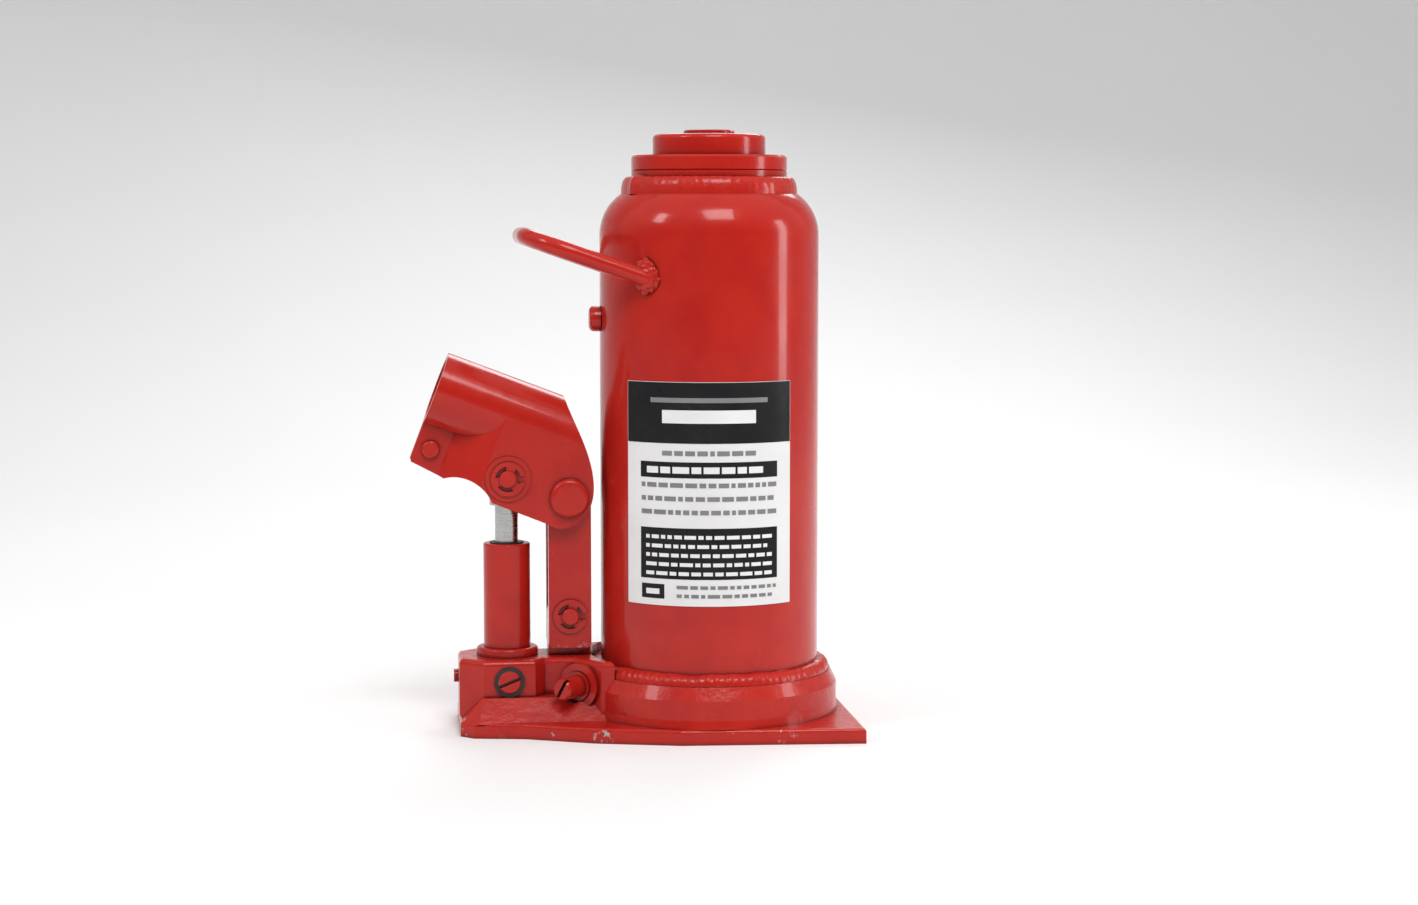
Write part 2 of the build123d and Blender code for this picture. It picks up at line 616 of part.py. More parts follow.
def make_valve_plug():
    with BuildPart() as plug:
        bar(side_plane((PUMP_X, DISCHARGE_Z), -22.6), VALVE_PLUG_R, 9.4)
        chamfer(plug.edges().filter_by(GeomType.CIRCLE).sort_by(Axis.Y)[0], 0.5)
        with BuildSketch(side_plane((PUMP_X, DISCHARGE_Z), -23)):
            Rectangle(12, 1.5, rotation=-22)
        extrude(amount=2.0, mode=Mode.SUBTRACT)
    return plug


def make_discharge_spring():
    """A small coil between the plug and the discharge ball."""
    with BuildPart() as spring:
        with BuildLine() as path:
            Helix(pitch=0.8, height=1.9, radius=1.9, center=(PUMP_X, -12.85, DISCHARGE_Z),
                  direction=(0, 1, 0))
        with BuildSketch(Plane(origin=path.wire() @ 0, z_dir=path.wire() % 0)):
            Circle(0.25)
        sweep(is_frenet=True)
    return spring


# ---------- carry handle, filler plug and label ----------
def handle_plane():
    rise = radians(HANDLE_RISE)
    return Plane(origin=(HANDLE_ROOT[0], 0, HANDLE_ROOT[1]),
                 x_dir=(-cos(rise), 0, sin(rise)), z_dir=(sin(rise), 0, cos(rise)))


def make_carry_handle():
    with BuildPart() as handle:
        with BuildLine(handle_plane()) as path:
            FilletPolyline((-6, HANDLE_HALF), (HANDLE_REACH, HANDLE_HALF), (HANDLE_REACH, -HANDLE_HALF),
                           (-6, -HANDLE_HALF), radius=HANDLE_BEND)
        with BuildSketch(Plane(origin=path.wire() @ 0, z_dir=path.wire() % 0)):
            Circle(HANDLE_ROD_R)
        sweep()
        bar(Plane.XY.offset(150), CASING_R, 80, Mode.SUBTRACT)
    return handle


def make_carry_handle_welds():
    rise = radians(HANDLE_RISE)
    along = Vector(-cos(rise), 0, sin(rise))
    with BuildPart() as welds:
        for side in (-1, 1):
            root = Vector(HANDLE_ROOT[0], side * HANDLE_HALF, HANDLE_ROOT[1])
            bar(Plane(origin=root - along * 9, z_dir=along), HANDLE_WELD_R, 13.0)
        fillet(welds.edges().filter_by(GeomType.CIRCLE).group_by(Axis.X)[0], 2.0)
        bar(Plane.XY.offset(150), CASING_R, 80, Mode.SUBTRACT)
        for side in (-1, 1):
            root = Vector(HANDLE_ROOT[0], side * HANDLE_HALF, HANDLE_ROOT[1])
            bar(Plane(origin=root - along * 20, z_dir=along), HANDLE_ROD_R, 40, Mode.SUBTRACT)
    return welds


def make_filler_plug():
    """A moulded stopper: a stem through the casing wall and a round head outside it."""
    outward = Plane(origin=(-CASING_R + 4.5, 0, PLUG_Z), z_dir=(-1, 0, 0))
    with BuildPart() as plug:
        bar(outward, PLUG_STEM_R, 4.6)
        bar(outward.offset(4.5), PLUG_HEAD_R, PLUG_HEAD_HEIGHT)
        bar(Plane(origin=(0, 0, PLUG_Z - 10)), CASING_R, 20, Mode.SUBTRACT)
        bar(outward, PLUG_STEM_R, 4.6)
        fillet(plug.edges().filter_by(GeomType.CIRCLE).sort_by(Axis.X)[0], 2.4)
    return plug


def make_label():
    with BuildPart() as label:
        with BuildSketch(Plane.XY.offset(LABEL_FOOT)):
            Circle(CASING_R + LABEL_THICKNESS)
            Circle(CASING_R, mode=Mode.SUBTRACT)
            reach = 3 * CASING_R
            low = radians(LABEL_ANGLE - LABEL_SPREAD)
            high = radians(LABEL_ANGLE + LABEL_SPREAD)
            Polygon((0, 0), (reach * cos(low), reach * sin(low)), (reach * cos(high), reach * sin(high)),
                    align=None, mode=Mode.INTERSECT)
        extrude(amount=LABEL_TOP - LABEL_FOOT)
    return label


def build_jack():
    finish(make_base_casting(), "base_casting")
    finish(make_reservoir_casing(), "reservoir_casing")
    finish(make_base_weld_bead(), "base_weld_bead")
    finish(make_neck_weld_bead(), "neck_weld_bead")
    finish(make_cylinder(), "cylinder")
    finish(rod(Plane.XY.offset(FLOOR_Z), CYLINDER_R, GASKET_HEIGHT, CYLINDER_BORE_R), "cylinder_gasket")
    finish(make_top_nut(), "top_nut")
    nut_seal = Plane.XY.offset(NUT_SEAL_FOOT)
    finish(rod(nut_seal, NUT_THREAD_R, NUT_SEAL_HEIGHT, NUT_SEAL_IN), "top_nut_seal")
    finish(rod(Plane.XY.offset(WIPER_FOOT), WIPER_R, WIPER_HEIGHT, RAM_R + SEAL_FIT), "ram_wiper")
    finish(make_ram(), "ram")
    finish(rod(Plane.XY.offset(BACKUP_FOOT), BACKUP_R, PISTON_FOOT - BACKUP_FOOT, RAM_STUD_R),
           "packing_backup_ring")
    finish(rod(Plane.XY.offset(PACKING_FOOT), PACKING_R, BACKUP_FOOT - PACKING_FOOT, RAM_STUD_R),
           "ram_packing")
    finish(rod(Plane.XY.offset(RETAINER_FOOT), RETAINER_R, PACKING_FOOT - RETAINER_FOOT, RAM_STUD_R),
           "piston_retainer")
    finish(make_extension_screw(), "extension_screw")
    finish(make_saddle(), "saddle")
    ring_height = STOP_RING_TOP - STOP_RING_FOOT
    finish(rod(Plane.XY.offset(STOP_RING_FOOT), STOP_RING_R, ring_height, STOP_RING_IN), "screw_stop_ring")

    finish(make_pump_cylinder(), "pump_cylinder")
    finish(rod(pump_axis.offset(FLOOR_Z), SPIGOT_R, GASKET_HEIGHT, ROD_R + 0.5), "pump_gasket")
    finish(rod(pump_axis.offset(PUMP_SEAL_FOOT), PUMP_SEAL_R, PUMP_SEAL_HEIGHT, ROD_R + SEAL_FIT),
           "pump_seal")
    backup = pump_axis.offset(PUMP_SEAL_FOOT + PUMP_SEAL_HEIGHT)
    finish(rod(backup, PUMP_SEAL_R, PUMP_BACKUP_HEIGHT, ROD_R + 0.05), "pump_backup_ring")
    finish(rod(pump_axis.offset(PUMP_WIPER_FOOT), PUMP_SEAL_R, PUMP_WIPER_HEIGHT, ROD_R + SEAL_FIT),
           "pump_wiper")
    finish(make_pump_plunger(), "pump_plunger")
    finish(make_handle_socket(), "handle_socket")
    finish(make_socket_rivet(), "socket_rivet")
    finish(make_grooved_pin(PLUNGER_PIVOT, PLUNGER_PIN_HALF, PLUNGER_PIN_GROOVE), "plunger_pin")
    finish(make_pin_clips(PLUNGER_PIVOT, PLUNGER_PIN_GROOVE), "plunger_pin_clips")
    finish(make_link_plates(), "link_plates")
    finish(make_link_top_pin(), "link_top_pin")
    finish(make_link_top_clip(), "link_top_clip")
    finish(make_grooved_pin(LINK_LOW_PIVOT, LINK_PIN_HALF, LINK_OUTER + 0.1), "link_lower_pin")
    finish(make_pin_clips(LINK_LOW_PIVOT, LINK_OUTER + 0.1), "link_lower_pin_clips")

    finish(make_release_spindle(), "release_spindle")
    finish(rod(valve_plane(RELEASE_PACKING_AT), 7.15, 1.5, SPINDLE_SHANK_R + 0.04), "release_packing")
    finish(make_ball(valve_end + valve_inward * RELEASE_BALL_AT, RELEASE_BALL_R), "release_ball")
    finish(make_ball(SUCTION_BALL, SUCTION_BALL_R), "suction_ball")
    finish(make_ball(DISCHARGE_BALL, DISCHARGE_BALL_R), "discharge_ball")
    finish(make_discharge_spring(), "discharge_spring")
    finish(make_valve_plug(), "valve_plug")
    finish(rod(side_plane((PUMP_X, DISCHARGE_Z), -22.0), 6.95, 2.0, VALVE_PLUG_R + 0.02), "valve_plug_ring")
    end_plug = Plane(origin=(-121, END_PLUG_Y, SUCTION_WAY_Z), z_dir=(1, 0, 0))
    finish(rod(end_plug, 3.15, 8.8), "end_plug")
    finish(rod(Plane(origin=(SUCTION_WAY_END, END_PLUG_Y, FLOOR_Z)), 2.8, 1.0), "oil_strainer")

    finish(make_carry_handle(), "carry_handle")
    finish(make_carry_handle_welds(), "carry_handle_welds")
    finish(make_filler_plug(), "filler_plug")
    finish(make_label(), "label")


build_jack()
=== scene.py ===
import json
import math
import random

import bmesh
import bpy
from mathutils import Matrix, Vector, noise


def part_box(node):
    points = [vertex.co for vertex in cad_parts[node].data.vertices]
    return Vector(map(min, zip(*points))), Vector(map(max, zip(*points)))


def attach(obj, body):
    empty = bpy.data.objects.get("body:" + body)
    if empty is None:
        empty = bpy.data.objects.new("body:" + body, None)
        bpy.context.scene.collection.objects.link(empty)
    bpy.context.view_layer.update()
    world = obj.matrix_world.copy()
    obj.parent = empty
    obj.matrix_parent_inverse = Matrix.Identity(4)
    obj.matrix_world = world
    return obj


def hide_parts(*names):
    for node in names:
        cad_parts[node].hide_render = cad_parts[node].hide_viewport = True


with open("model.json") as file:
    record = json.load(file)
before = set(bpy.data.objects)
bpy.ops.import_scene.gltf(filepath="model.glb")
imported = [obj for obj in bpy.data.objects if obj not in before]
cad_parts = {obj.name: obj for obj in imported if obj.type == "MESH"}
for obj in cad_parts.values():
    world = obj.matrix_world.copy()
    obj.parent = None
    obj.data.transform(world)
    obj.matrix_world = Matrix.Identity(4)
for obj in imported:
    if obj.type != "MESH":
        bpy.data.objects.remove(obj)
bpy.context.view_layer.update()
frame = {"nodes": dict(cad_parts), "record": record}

random.seed(7)

# A hydraulic bottle jack in metres, +Z up, with the pump on the -X side and the label facing -Y.
# Most CAD nodes are kept and get a finish. The welds and the extension screw are built here
# with their real surfaces, in place of plain CAD nodes, and so is the label's print.


# ---------- places and sizes ----------
CASING_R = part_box("reservoir_casing")[1].x
CYLINDER_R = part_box("cylinder")[1].x
PLATE_TOP = 0.007
LINK_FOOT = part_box("link_plates")[0].z

WELD_ROOT = 0.0006
BASE_WELD_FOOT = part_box("base_weld_bead")[0].z
BASE_WELD_LEG = 0.0054
BASE_WELD_TALL = 0.0052
BASE_WELD_UNEVEN = 0.0007
BASE_WELD_SCALES = 95
BASE_WELD_STEPS = 720
NECK_WELD_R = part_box("neck_weld_bead")[1].x
NECK_WELD_SUNK = 0.0006
NECK_WELD_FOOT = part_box("neck_weld_bead")[0].z - NECK_WELD_SUNK
NECK_WELD_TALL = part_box("neck_weld_bead")[1].z - NECK_WELD_FOOT
NECK_WELD_ROOT = 0.0004
NECK_WELD_SCALES = 60
NECK_WELD_STEPS = 540
NECK_WELD_START = math.radians(205)
NECK_WELD_START_SPREAD = 0.10
HANDLE_END_X = -0.0335
HANDLE_END_Y = 0.0395
HANDLE_WELD_OUT = 0.0003
HANDLE_WELD_UP = 0.0012
HANDLE_WELD_HALF = (0.0038, 0.0062, 0.0082)
HANDLE_WELD_LUMP = 0.16

SCREW_LOW, SCREW_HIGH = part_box("extension_screw")
SCREW_R = SCREW_HIGH.x
SCREW_FOOT, SCREW_TOP = SCREW_LOW.z, SCREW_HIGH.z
THREAD_PITCH = 0.006
THREAD_DEPTH = 0.0013
THREAD_CLEAR = 0.0002
SADDLE_GAP = 0.0004
THREAD_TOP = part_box("saddle")[0].z - SADDLE_GAP
FOOT_TAPER = 0.0016
FOOT_TAPER_TALL = 0.004
RING_LOW, RING_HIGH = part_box("screw_stop_ring")[0].z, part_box("screw_stop_ring")[1].z
GROOVE_ROOM = 0.0005
GROOVE_R = 0.0140
HEAD_R = 0.012
HEAD_EDGE = 0.0007
DIMPLE_DEPTH = 0.0006
SCREW_STEPS = 72
ROWS_PER_TURN = 16

LABEL_THICKNESS = 0.00025
LABEL_R = CASING_R + LABEL_THICKNESS
LABEL_ANGLE = math.radians(-97.0)
LABEL_HALF = math.radians(46.0)
LABEL_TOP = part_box("label")[1].z
PRINT_MARGIN = 0.0002
PRINT_STEP = 0.0012
BLACK_LIFT, WHITE_LIFT, GREY_LIFT = 0.00006, 0.00011, 0.00012
BANNER_FOOT = 0.1370
# areas of the print: start and end across from the label's middle, lowest and highest z
TITLE = (-0.0335, 0.0335, 0.1212, 0.1285)
NOTICE = (-0.0335, 0.0335, 0.0747, 0.0982)
SIGN = (-0.0330, -0.0210, 0.0655, 0.0722)
SIGN_BAR = (-0.0305, -0.0235, 0.0675, 0.0700)
BANNER_BAR = (-0.0220, 0.0220, 0.1462, 0.1522)
BANNER_LINE = (-0.0280, 0.0280, 0.1556, 0.1578)
WORDS = (0.0018, 0.0062)
TITLE_WORDS = (0.004, 0.010)
WORD_GAP = 0.0011
# rows of words: start and end across, foot of the top row, height, rows, step down, word lengths
WHITE_ROWS = (
    (-0.0300, 0.0300, 0.1233, 0.0030, 1, 0.0, TITLE_WORDS),
    (-0.0305, 0.0305, 0.0932, 0.0017, 5, 0.0042, WORDS),
)
GREY_ROWS = (
    (-0.0330, 0.0330, 0.1168, 0.0021, 3, 0.0062, WORDS),
    (-0.0220, 0.0220, 0.1314, 0.0022, 1, 0.0, WORDS),
    (-0.0150, 0.0330, 0.0702, 0.0016, 2, 0.0040, WORDS),
)

CAMERA_TURN = math.radians(7.0)
CAMERA_DISTANCE = 1.236
CAMERA_HEIGHT = 0.243
CAMERA_PITCH = math.radians(5.3)
CAMERA_LENS = 66.5
CAMERA_FILM = 36.0

FLOOR_HALF = 4.0
FLOOR_ROWS = (-3.0, -1.5, 0.0, 0.9)
SWEEP_R = 1.2
SWEEP_STEPS = 12
WALL_TOP = 4.0

LAMP_AIM = (-0.03, 0.0, 0.14)
# name, place, width and height, watts
LAMPS = (
    ("key", (0.10, -0.98, 1.32), (0.66, 0.60), 11.5),
    ("left", (-1.2, -0.55, 1.15), (0.30, 0.5), 5.0),
    ("right", (1.3, -0.35, 0.45), (0.26, 0.8), 5.5),
    ("back", (0.3, 1.2, 1.1), (0.9, 0.6), 9.0),
)
SKY_LEAN = 0.45
SKY_FROM, SKY_TO = -0.35, 0.75
SKY_DARK, SKY_BRIGHT = 0.05, 0.72


# ---------- small tools ----------
def new_object(name, mesh, body):
    piece = bpy.data.objects.new(name, mesh)
    bpy.context.scene.collection.objects.link(piece)
    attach(piece, body)
    return piece


def smooth(mesh, angle):
    """Shades a mesh smooth, apart from edges sharper than the angle in degrees."""
    for polygon in mesh.polygons:
        polygon.use_smooth = True
    mesh.set_sharp_from_angle(angle=math.radians(angle))


def mesh_from(name, verts, faces):
    mesh = bpy.data.meshes.new(name)
    mesh.from_pydata(verts, [], faces)
    mesh.validate()
    mesh.update()
    return mesh


def tidy_normals(mesh):
    """Welds doubled points and turns every face outwards."""
    form = bmesh.new()
    form.from_mesh(mesh)
    bmesh.ops.remove_doubles(form, verts=form.verts, dist=1e-7)
    bmesh.ops.recalc_face_normals(form, faces=form.faces)
    form.to_mesh(mesh)
    form.free()


def ring_mesh(name, steps, section):
    """A closed ring of sections. section(turn) gives the closed outline's points at an angle."""
    verts = []
    for step in range(steps):
        verts.extend(section(2 * math.pi * step / steps))
    count = len(verts) // steps
    faces = []
    for step in range(steps):
        here = step * count
        there = ((step + 1) % steps) * count
        for k in range(count):
            after = (k + 1) % count
            faces.append((here + k, there + k, there + after, here + after))
    mesh = mesh_from(name, verts, faces)
    tidy_normals(mesh)
    return mesh


def polar(radius, turn, height):
    return (radius * math.cos(turn), radius * math.sin(turn), height)


# ---------- materials ----------
class Nodes:
    """A short way to wire a material's nodes."""

    def __init__(self, name):
        self.material = bpy.data.materials.new(name)
        self.material.use_nodes = True
        self.tree = self.material.node_tree
        self.shader = self.tree.nodes["Principled BSDF"]
        self.place = self.add("ShaderNodeTexCoord").outputs["Object"]

    def add(self, kind, **values):
        node = self.tree.nodes.new(kind)
        for key, value in values.items():
            setattr(node, key, value)
        return node

    def join(self, source, target):
        self.tree.links.new(source, target)

    def stretched(self, scale):
        """The place on the object with each axis scaled, for noise with a direction."""
        node = self.add("ShaderNodeMapping")
        node.inputs["Scale"].default_value = scale
        self.join(self.place, node.inputs["Vector"])
        return node.outputs["Vector"]

    def noise(self, scale, detail=3.0, rough=0.55, vector=None):
        """Noise from 0 to 1, with scale lumps to the metre."""
        node = self.add("ShaderNodeTexNoise")
        node.inputs["Scale"].default_value = scale
        node.inputs["Detail"].default_value = detail
        node.inputs["Roughness"].default_value = rough
        self.join(vector or self.place, node.inputs["Vector"])
        return node.outputs["Fac"]

    def spread(self, value, low, high, to_low=0.0, to_high=1.0):
        """Maps low..high to to_low..to_high, and holds there beyond."""
        node = self.add("ShaderNodeMapRange")
        node.inputs["From Min"].default_value = low
        node.inputs["From Max"].default_value = high
        node.inputs["To Min"].default_value = to_low
        node.inputs["To Max"].default_value = to_high
        self.join(value, node.inputs["Value"])
        return node.outputs["Result"]

    def maths(self, kind, one, two):
        node = self.add("ShaderNodeMath", operation=kind)
        self.join(one, node.inputs[0])
        if isinstance(two, float):
            node.inputs[1].default_value = two
        else:
            self.join(two, node.inputs[1])
        return node.outputs[0]

    def blend(self, factor, one, two):
        """Colour one where factor is 0, colour two where it is 1."""
        node = self.add("ShaderNodeMix", data_type="RGBA")
        self.join(factor, node.inputs["Factor"])
        for socket, value in ((node.inputs["A"], one), (node.inputs["B"], two)):
            if isinstance(value, tuple):
                socket.default_value = (*value, 1.0)
            else:
                self.join(value, socket)
        return node.outputs["Result"]

    def bump(self, height, strength, distance, below=None):
        """A normal from a height, laid over another normal if there is one below."""
        node = self.add("ShaderNodeBump")
        node.inputs["Strength"].default_value = strength
        node.inputs["Distance"].default_value = distance
        self.join(height, node.inputs["Height"])
        if below is not None:
            self.join(below, node.inputs["Normal"])
        return node.outputs["Normal"]

    def set(self, **values):
        """Constants on the shader's own sockets, such as Coat_Weight=0.2."""
        for key, value in values.items():
            self.shader.inputs[key.replace("_", " ")].default_value = value

    def out(self, name, value):
        """Wires a node's output into one of the shader's sockets."""
        self.join(value, self.shader.inputs[name])


RED = (0.47, 0.0165, 0.0100)
RED_LIGHT = (0.56, 0.028, 0.012)
RED_DARK = (0.40, 0.0130, 0.0100)
# painted shade: the near black that the enamel darkens towards in seams and gaps, and how near an
# occluding surface must be
PAINTED_SHADE = (0.045, 0.006, 0.005)
PAINTED_SHADE_REACH = 0.0035
BARE = (0.50, 0.49, 0.47)
DUST_BLACK = (0.05, 0.048, 0.045)
RUBBER_BLACK = (0.012, 0.012, 0.012)
PAPER_DARK = (0.86, 0.86, 0.86)
PAPER_LIGHT = (0.90, 0.90, 0.90)


def chips_between(m, low, high):
    """Where small chips show bare metal, between two heights."""
    split = m.add("ShaderNodeSeparateXYZ")
    m.join(m.place, split.inputs[0])
    height = split.outputs["Z"]
    above = m.maths("GREATER_THAN", height, low)
    below = m.maths("LESS_THAN", height, high)
    chips = m.maths("MULTIPLY", above, below)
    chips = m.maths("MULTIPLY", chips, m.spread(m.noise(300.0, 4.0, 0.7), 0.56, 0.60))
    return m.maths("MULTIPLY", chips, m.spread(m.noise(48.0, 2.0), 0.56, 0.62))


def enamel(name, grain, grain_scale, roughness, chip_band=None):
    """Glossy red enamel with cloudy colour, orange peel, and painted shade that darkens it in its
    seams and gaps.

    grain and grain_scale are the depth and fineness of the metal's surface under the film.
    chip_band is the lowest and highest z between which small chips show bare metal."""
    m = Nodes(name)
    cloud = m.spread(m.noise(9.0, 4.0), 0.35, 0.65)
    fine = m.spread(m.noise(70.0, 3.0), 0.35, 0.65)
    colour = m.blend(cloud, RED_DARK, RED)
    colour = m.blend(m.maths("MULTIPLY", fine, 0.30), colour, RED_LIGHT)
    shine = m.spread(m.noise(26.0, 4.0), 0.3, 0.7, roughness - 0.05, roughness + 0.08)
    if chip_band:
        chips = chips_between(m, *chip_band)
        colour = m.blend(chips, colour, BARE)
        m.out("Metallic", m.maths("MULTIPLY", chips, 0.8))
        shine = m.maths("ADD", shine, m.maths("MULTIPLY", chips, 0.25))
    # Painted shade: ambient occlusion darkens the colour towards near black in seams, gaps and
    # crevices.
    occlusion_shade = m.add("ShaderNodeAmbientOcclusion", samples=8)
    occlusion_shade.inputs["Distance"].default_value = PAINTED_SHADE_REACH
    colour = m.blend(m.spread(occlusion_shade.outputs["AO"], 0.30, 0.85), PAINTED_SHADE, colour)
    m.out("Base Color", colour)
    m.out("Roughness", shine)
    m.set(Specular_IOR_Level=0.20, Coat_Weight=0.22, Coat_Roughness=0.05)
    peel = m.bump(m.noise(240.0, 2.0), 0.10, 0.0004)
    m.out("Normal", m.bump(m.noise(grain_scale, 5.0, 0.6), grain, 0.0012, peel))
    return m.material


def metal(name, colour, roughness, lines):
    """Ground or turned metal: fine scratches along one way, with oil stains in the tone."""
    m = Nodes(name)
    scratch = m.noise(90.0, 4.0, 0.7, m.stretched(lines))
    stain = m.spread(m.noise(45.0, 4.0), 0.35, 0.7)
    dark = tuple(0.62 * c for c in colour)
    m.out("Base Color", m.blend(m.maths("MULTIPLY", stain, 0.5), colour, dark))
    m.out("Roughness", m.spread(scratch, 0.3, 0.7, roughness - 0.07, roughness + 0.10))
    m.set(Metallic=1.0)
    m.out("Normal", m.bump(scratch, 0.25, 0.0002))
    return m.material


def rubber():
    """Moulded black rubber with dust in its pores."""
    m = Nodes("rubber_black")
    dust = m.spread(m.noise(120.0, 4.0), 0.45, 0.75)
    m.out("Base Color", m.blend(m.maths("MULTIPLY", dust, 0.4), RUBBER_BLACK, DUST_BLACK))
    m.out("Roughness", m.spread(m.noise(60.0), 0.3, 0.7, 0.42, 0.62))
    m.out("Normal", m.bump(m.noise(600.0), 0.25, 0.0002))
    return m.material


def print_film(name, colour, dirt, roughness):
    """Plastic, bare or printed: an even colour with a little tone, dust and a faint ripple."""
    m = Nodes(name)
    tone = m.spread(m.noise(40.0, 4.0), 0.3, 0.7)
    m.out("Base Color", m.blend(m.maths("MULTIPLY", tone, 0.6), colour, dirt))
    m.out("Roughness", m.spread(m.noise(75.0), 0.3, 0.7, roughness - 0.05, roughness + 0.08))
    m.set(Specular_IOR_Level=0.08)
    m.out("Normal", m.bump(m.noise(55.0, 2.0), 0.10, 0.0005))
    return m.material


ENAMEL = enamel("enamel_sheet", 0.05, 60.0, 0.20)
ENAMEL_CAST = enamel("enamel_cast", 0.42, 150.0, 0.22, (0.0003, PLATE_TOP - 0.0002))
ENAMEL_WELD = enamel("enamel_weld", 0.35, 260.0, 0.22)
ENAMEL_PART = enamel("enamel_part", 0.14, 130.0, 0.22)
ENAMEL_LINK = enamel("enamel_link", 0.14, 130.0, 0.22, (LINK_FOOT, LINK_FOOT + 0.003))
STEEL = metal("steel_ground", (0.60, 0.60, 0.59), 0.24, (1.0, 1.0, 14.0))
MACHINED = metal("steel_machined", (0.36, 0.36, 0.37), 0.36, (1.0, 1.0, 10.0))
COPPER = metal("copper_soft", (0.72, 0.38, 0.22), 0.35, (1.0, 1.0, 6.0))
RUBBER = rubber()
POLYMER = print_film("seal_polymer", (0.78, 0.75, 0.66), (0.66, 0.62, 0.52), 0.45)
FILM_WHITE = print_film("film_white", (0.80, 0.80, 0.80), (0.72, 0.71, 0.70), 0.34)
INK_BLACK = print_film("ink_black", (0.012, 0.012, 0.014), (0.03, 0.028, 0.028), 0.30)
INK_GREY = print_film("ink_grey", (0.20, 0.20, 0.21), (0.28, 0.27, 0.27), 0.36)
INK_WHITE = print_film("ink_white", (0.82, 0.82, 0.82), (0.74, 0.73, 0.72), 0.34)

SLOT_LOOKS = {
    "red_enamel": ENAMEL_PART,
    "bright_steel": STEEL,
    "machined_steel": MACHINED,
    "black_rubber": RUBBER,
    "copper": COPPER,
    "seal_polymer": POLYMER,
    "label_print": FILM_WHITE,
}
NODE_LOOKS = {
    "reservoir_casing": ENAMEL,
    "pump_cylinder": ENAMEL,
    "carry_handle": ENAMEL,
    "filler_plug": ENAMEL,
    "base_casting": ENAMEL_CAST,
    "link_plates": ENAMEL_LINK,
}
SHARP_EDGE = math.radians(35)
# how far each node's sharp edges are rounded
ROUNDED = {
    "base_casting": 0.0016,
    "handle_socket": 0.0010,
    "link_plates": 0.0006,
    "top_nut": 0.0004,
    "saddle": 0.0004,
    "release_spindle": 0.0004,
    "socket_rivet": 0.0004,
    "plunger_pin_clips": 0.0003,
    "link_lower_pin_clips": 0.0003,
    "valve_plug": 0.0003,
    "valve_plug_ring": 0.0006,
    "end_plug": 0.0005,
    "pump_plunger": 0.0005,
    "pump_wiper": 0.0005,
    "ram": 0.0003,
}


def dress_cad_nodes():
    """Gives every CAD node its finish, and rounds the sharp edges of those in ROUNDED."""
    slots = {part["node"]: part["material_slot"] for part in frame["record"]["subparts"]}
    for name, node in frame["nodes"].items():
        look = NODE_LOOKS.get(name, SLOT_LOOKS[slots[name]])
        node.data.materials.clear()
        node.data.materials.append(look)
        if name in ROUNDED:
            bevel = node.modifiers.new("soft_edges", "BEVEL")
            bevel.width = ROUNDED[name]
            bevel.segments = 2
            bevel.limit_method = "ANGLE"
            bevel.angle_limit = SHARP_EDGE
            bevel.harden_normals = True


# ---------- weld beads ----------
def lumpy(turn, scales, seed):
    """The height of a weld's scales at an angle, from about -1 to 1, uneven along the run."""
    wander = noise.noise(Vector((3 * math.cos(turn), 3 * math.sin(turn), seed)))
    scale = math.sin(scales * turn + 5 * wander)
    coarse = noise.noise(Vector((14 * math.cos(turn), 14 * math.sin(turn), seed + 9)))
    return 0.55 * scale + 0.9 * coarse


def base_weld_section(turn):
    """A quarter round fillet from the collar's top to the tank's side."""
    lump = lumpy(turn, BASE_WELD_SCALES, 1.0)
    uneven = noise.noise(Vector((6 * math.cos(turn), 6 * math.sin(turn), 4.0)))
    tall = BASE_WELD_TALL + BASE_WELD_UNEVEN * uneven
    points = [polar(CASING_R - WELD_ROOT, turn, BASE_WELD_FOOT - WELD_ROOT / 2)]
    for k in range(9):
        lift = math.radians(90 * k / 8)
        bulge = 1 + 0.055 * lump * math.sin(2 * lift)
        out = BASE_WELD_LEG * math.cos(lift) ** 0.85 * bulge
        up = tall * math.sin(lift) ** 0.85 * bulge
        points.append(polar(CASING_R + out, turn, BASE_WELD_FOOT + up))
    points.append(polar(CASING_R - WELD_ROOT, turn, BASE_WELD_FOOT + tall))
    return points


def neck_weld_section(turn):
    """A tall fillet on the shoulder, with a lump where the run starts and stops."""
    lump = 0.45 * lumpy(turn, NECK_WELD_SCALES, 5.0)
    past_start = turn - NECK_WELD_START
    gap = math.atan2(math.sin(past_start), math.cos(past_start))
    blob = math.exp(-(gap / NECK_WELD_START_SPREAD) ** 2)
    wide = NECK_WELD_R - CYLINDER_R
    inside = CYLINDER_R - NECK_WELD_ROOT
    points = [polar(inside, turn, NECK_WELD_FOOT + 0.001)]
    for k in range(11):
        lift = math.radians(90 * k / 10)
        bulge = 1 + 0.05 * lump + 0.10 * blob
        out = wide * math.cos(lift) ** 0.6 * (1 + 0.04 * lump + 0.22 * blob)
        up = NECK_WELD_TALL * math.sin(lift) ** 0.9 * bulge
        height = NECK_WELD_FOOT + min(up, NECK_WELD_TALL * 1.12)
        points.append(polar(CYLINDER_R + out, turn, height))
    points.append(polar(inside, turn, NECK_WELD_FOOT + NECK_WELD_TALL * 0.98))
    return points


def ring_weld(name, steps, section):
    """A weld run right round the tank."""
    mesh = ring_mesh(name, steps, section)
    smooth(mesh, 60)
    mesh.materials.append(ENAMEL_WELD)
    return new_object(name, mesh, "root")


def make_tank_welds():
    """The runs at the tank's foot and at its neck, in the place of their plain CAD rings."""
    piece = ring_weld("base_weld_run", BASE_WELD_STEPS, base_weld_section)
    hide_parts("base_weld_bead")
    piece = ring_weld("neck_weld_run", NECK_WELD_STEPS, neck_weld_section)
    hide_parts("neck_weld_bead")


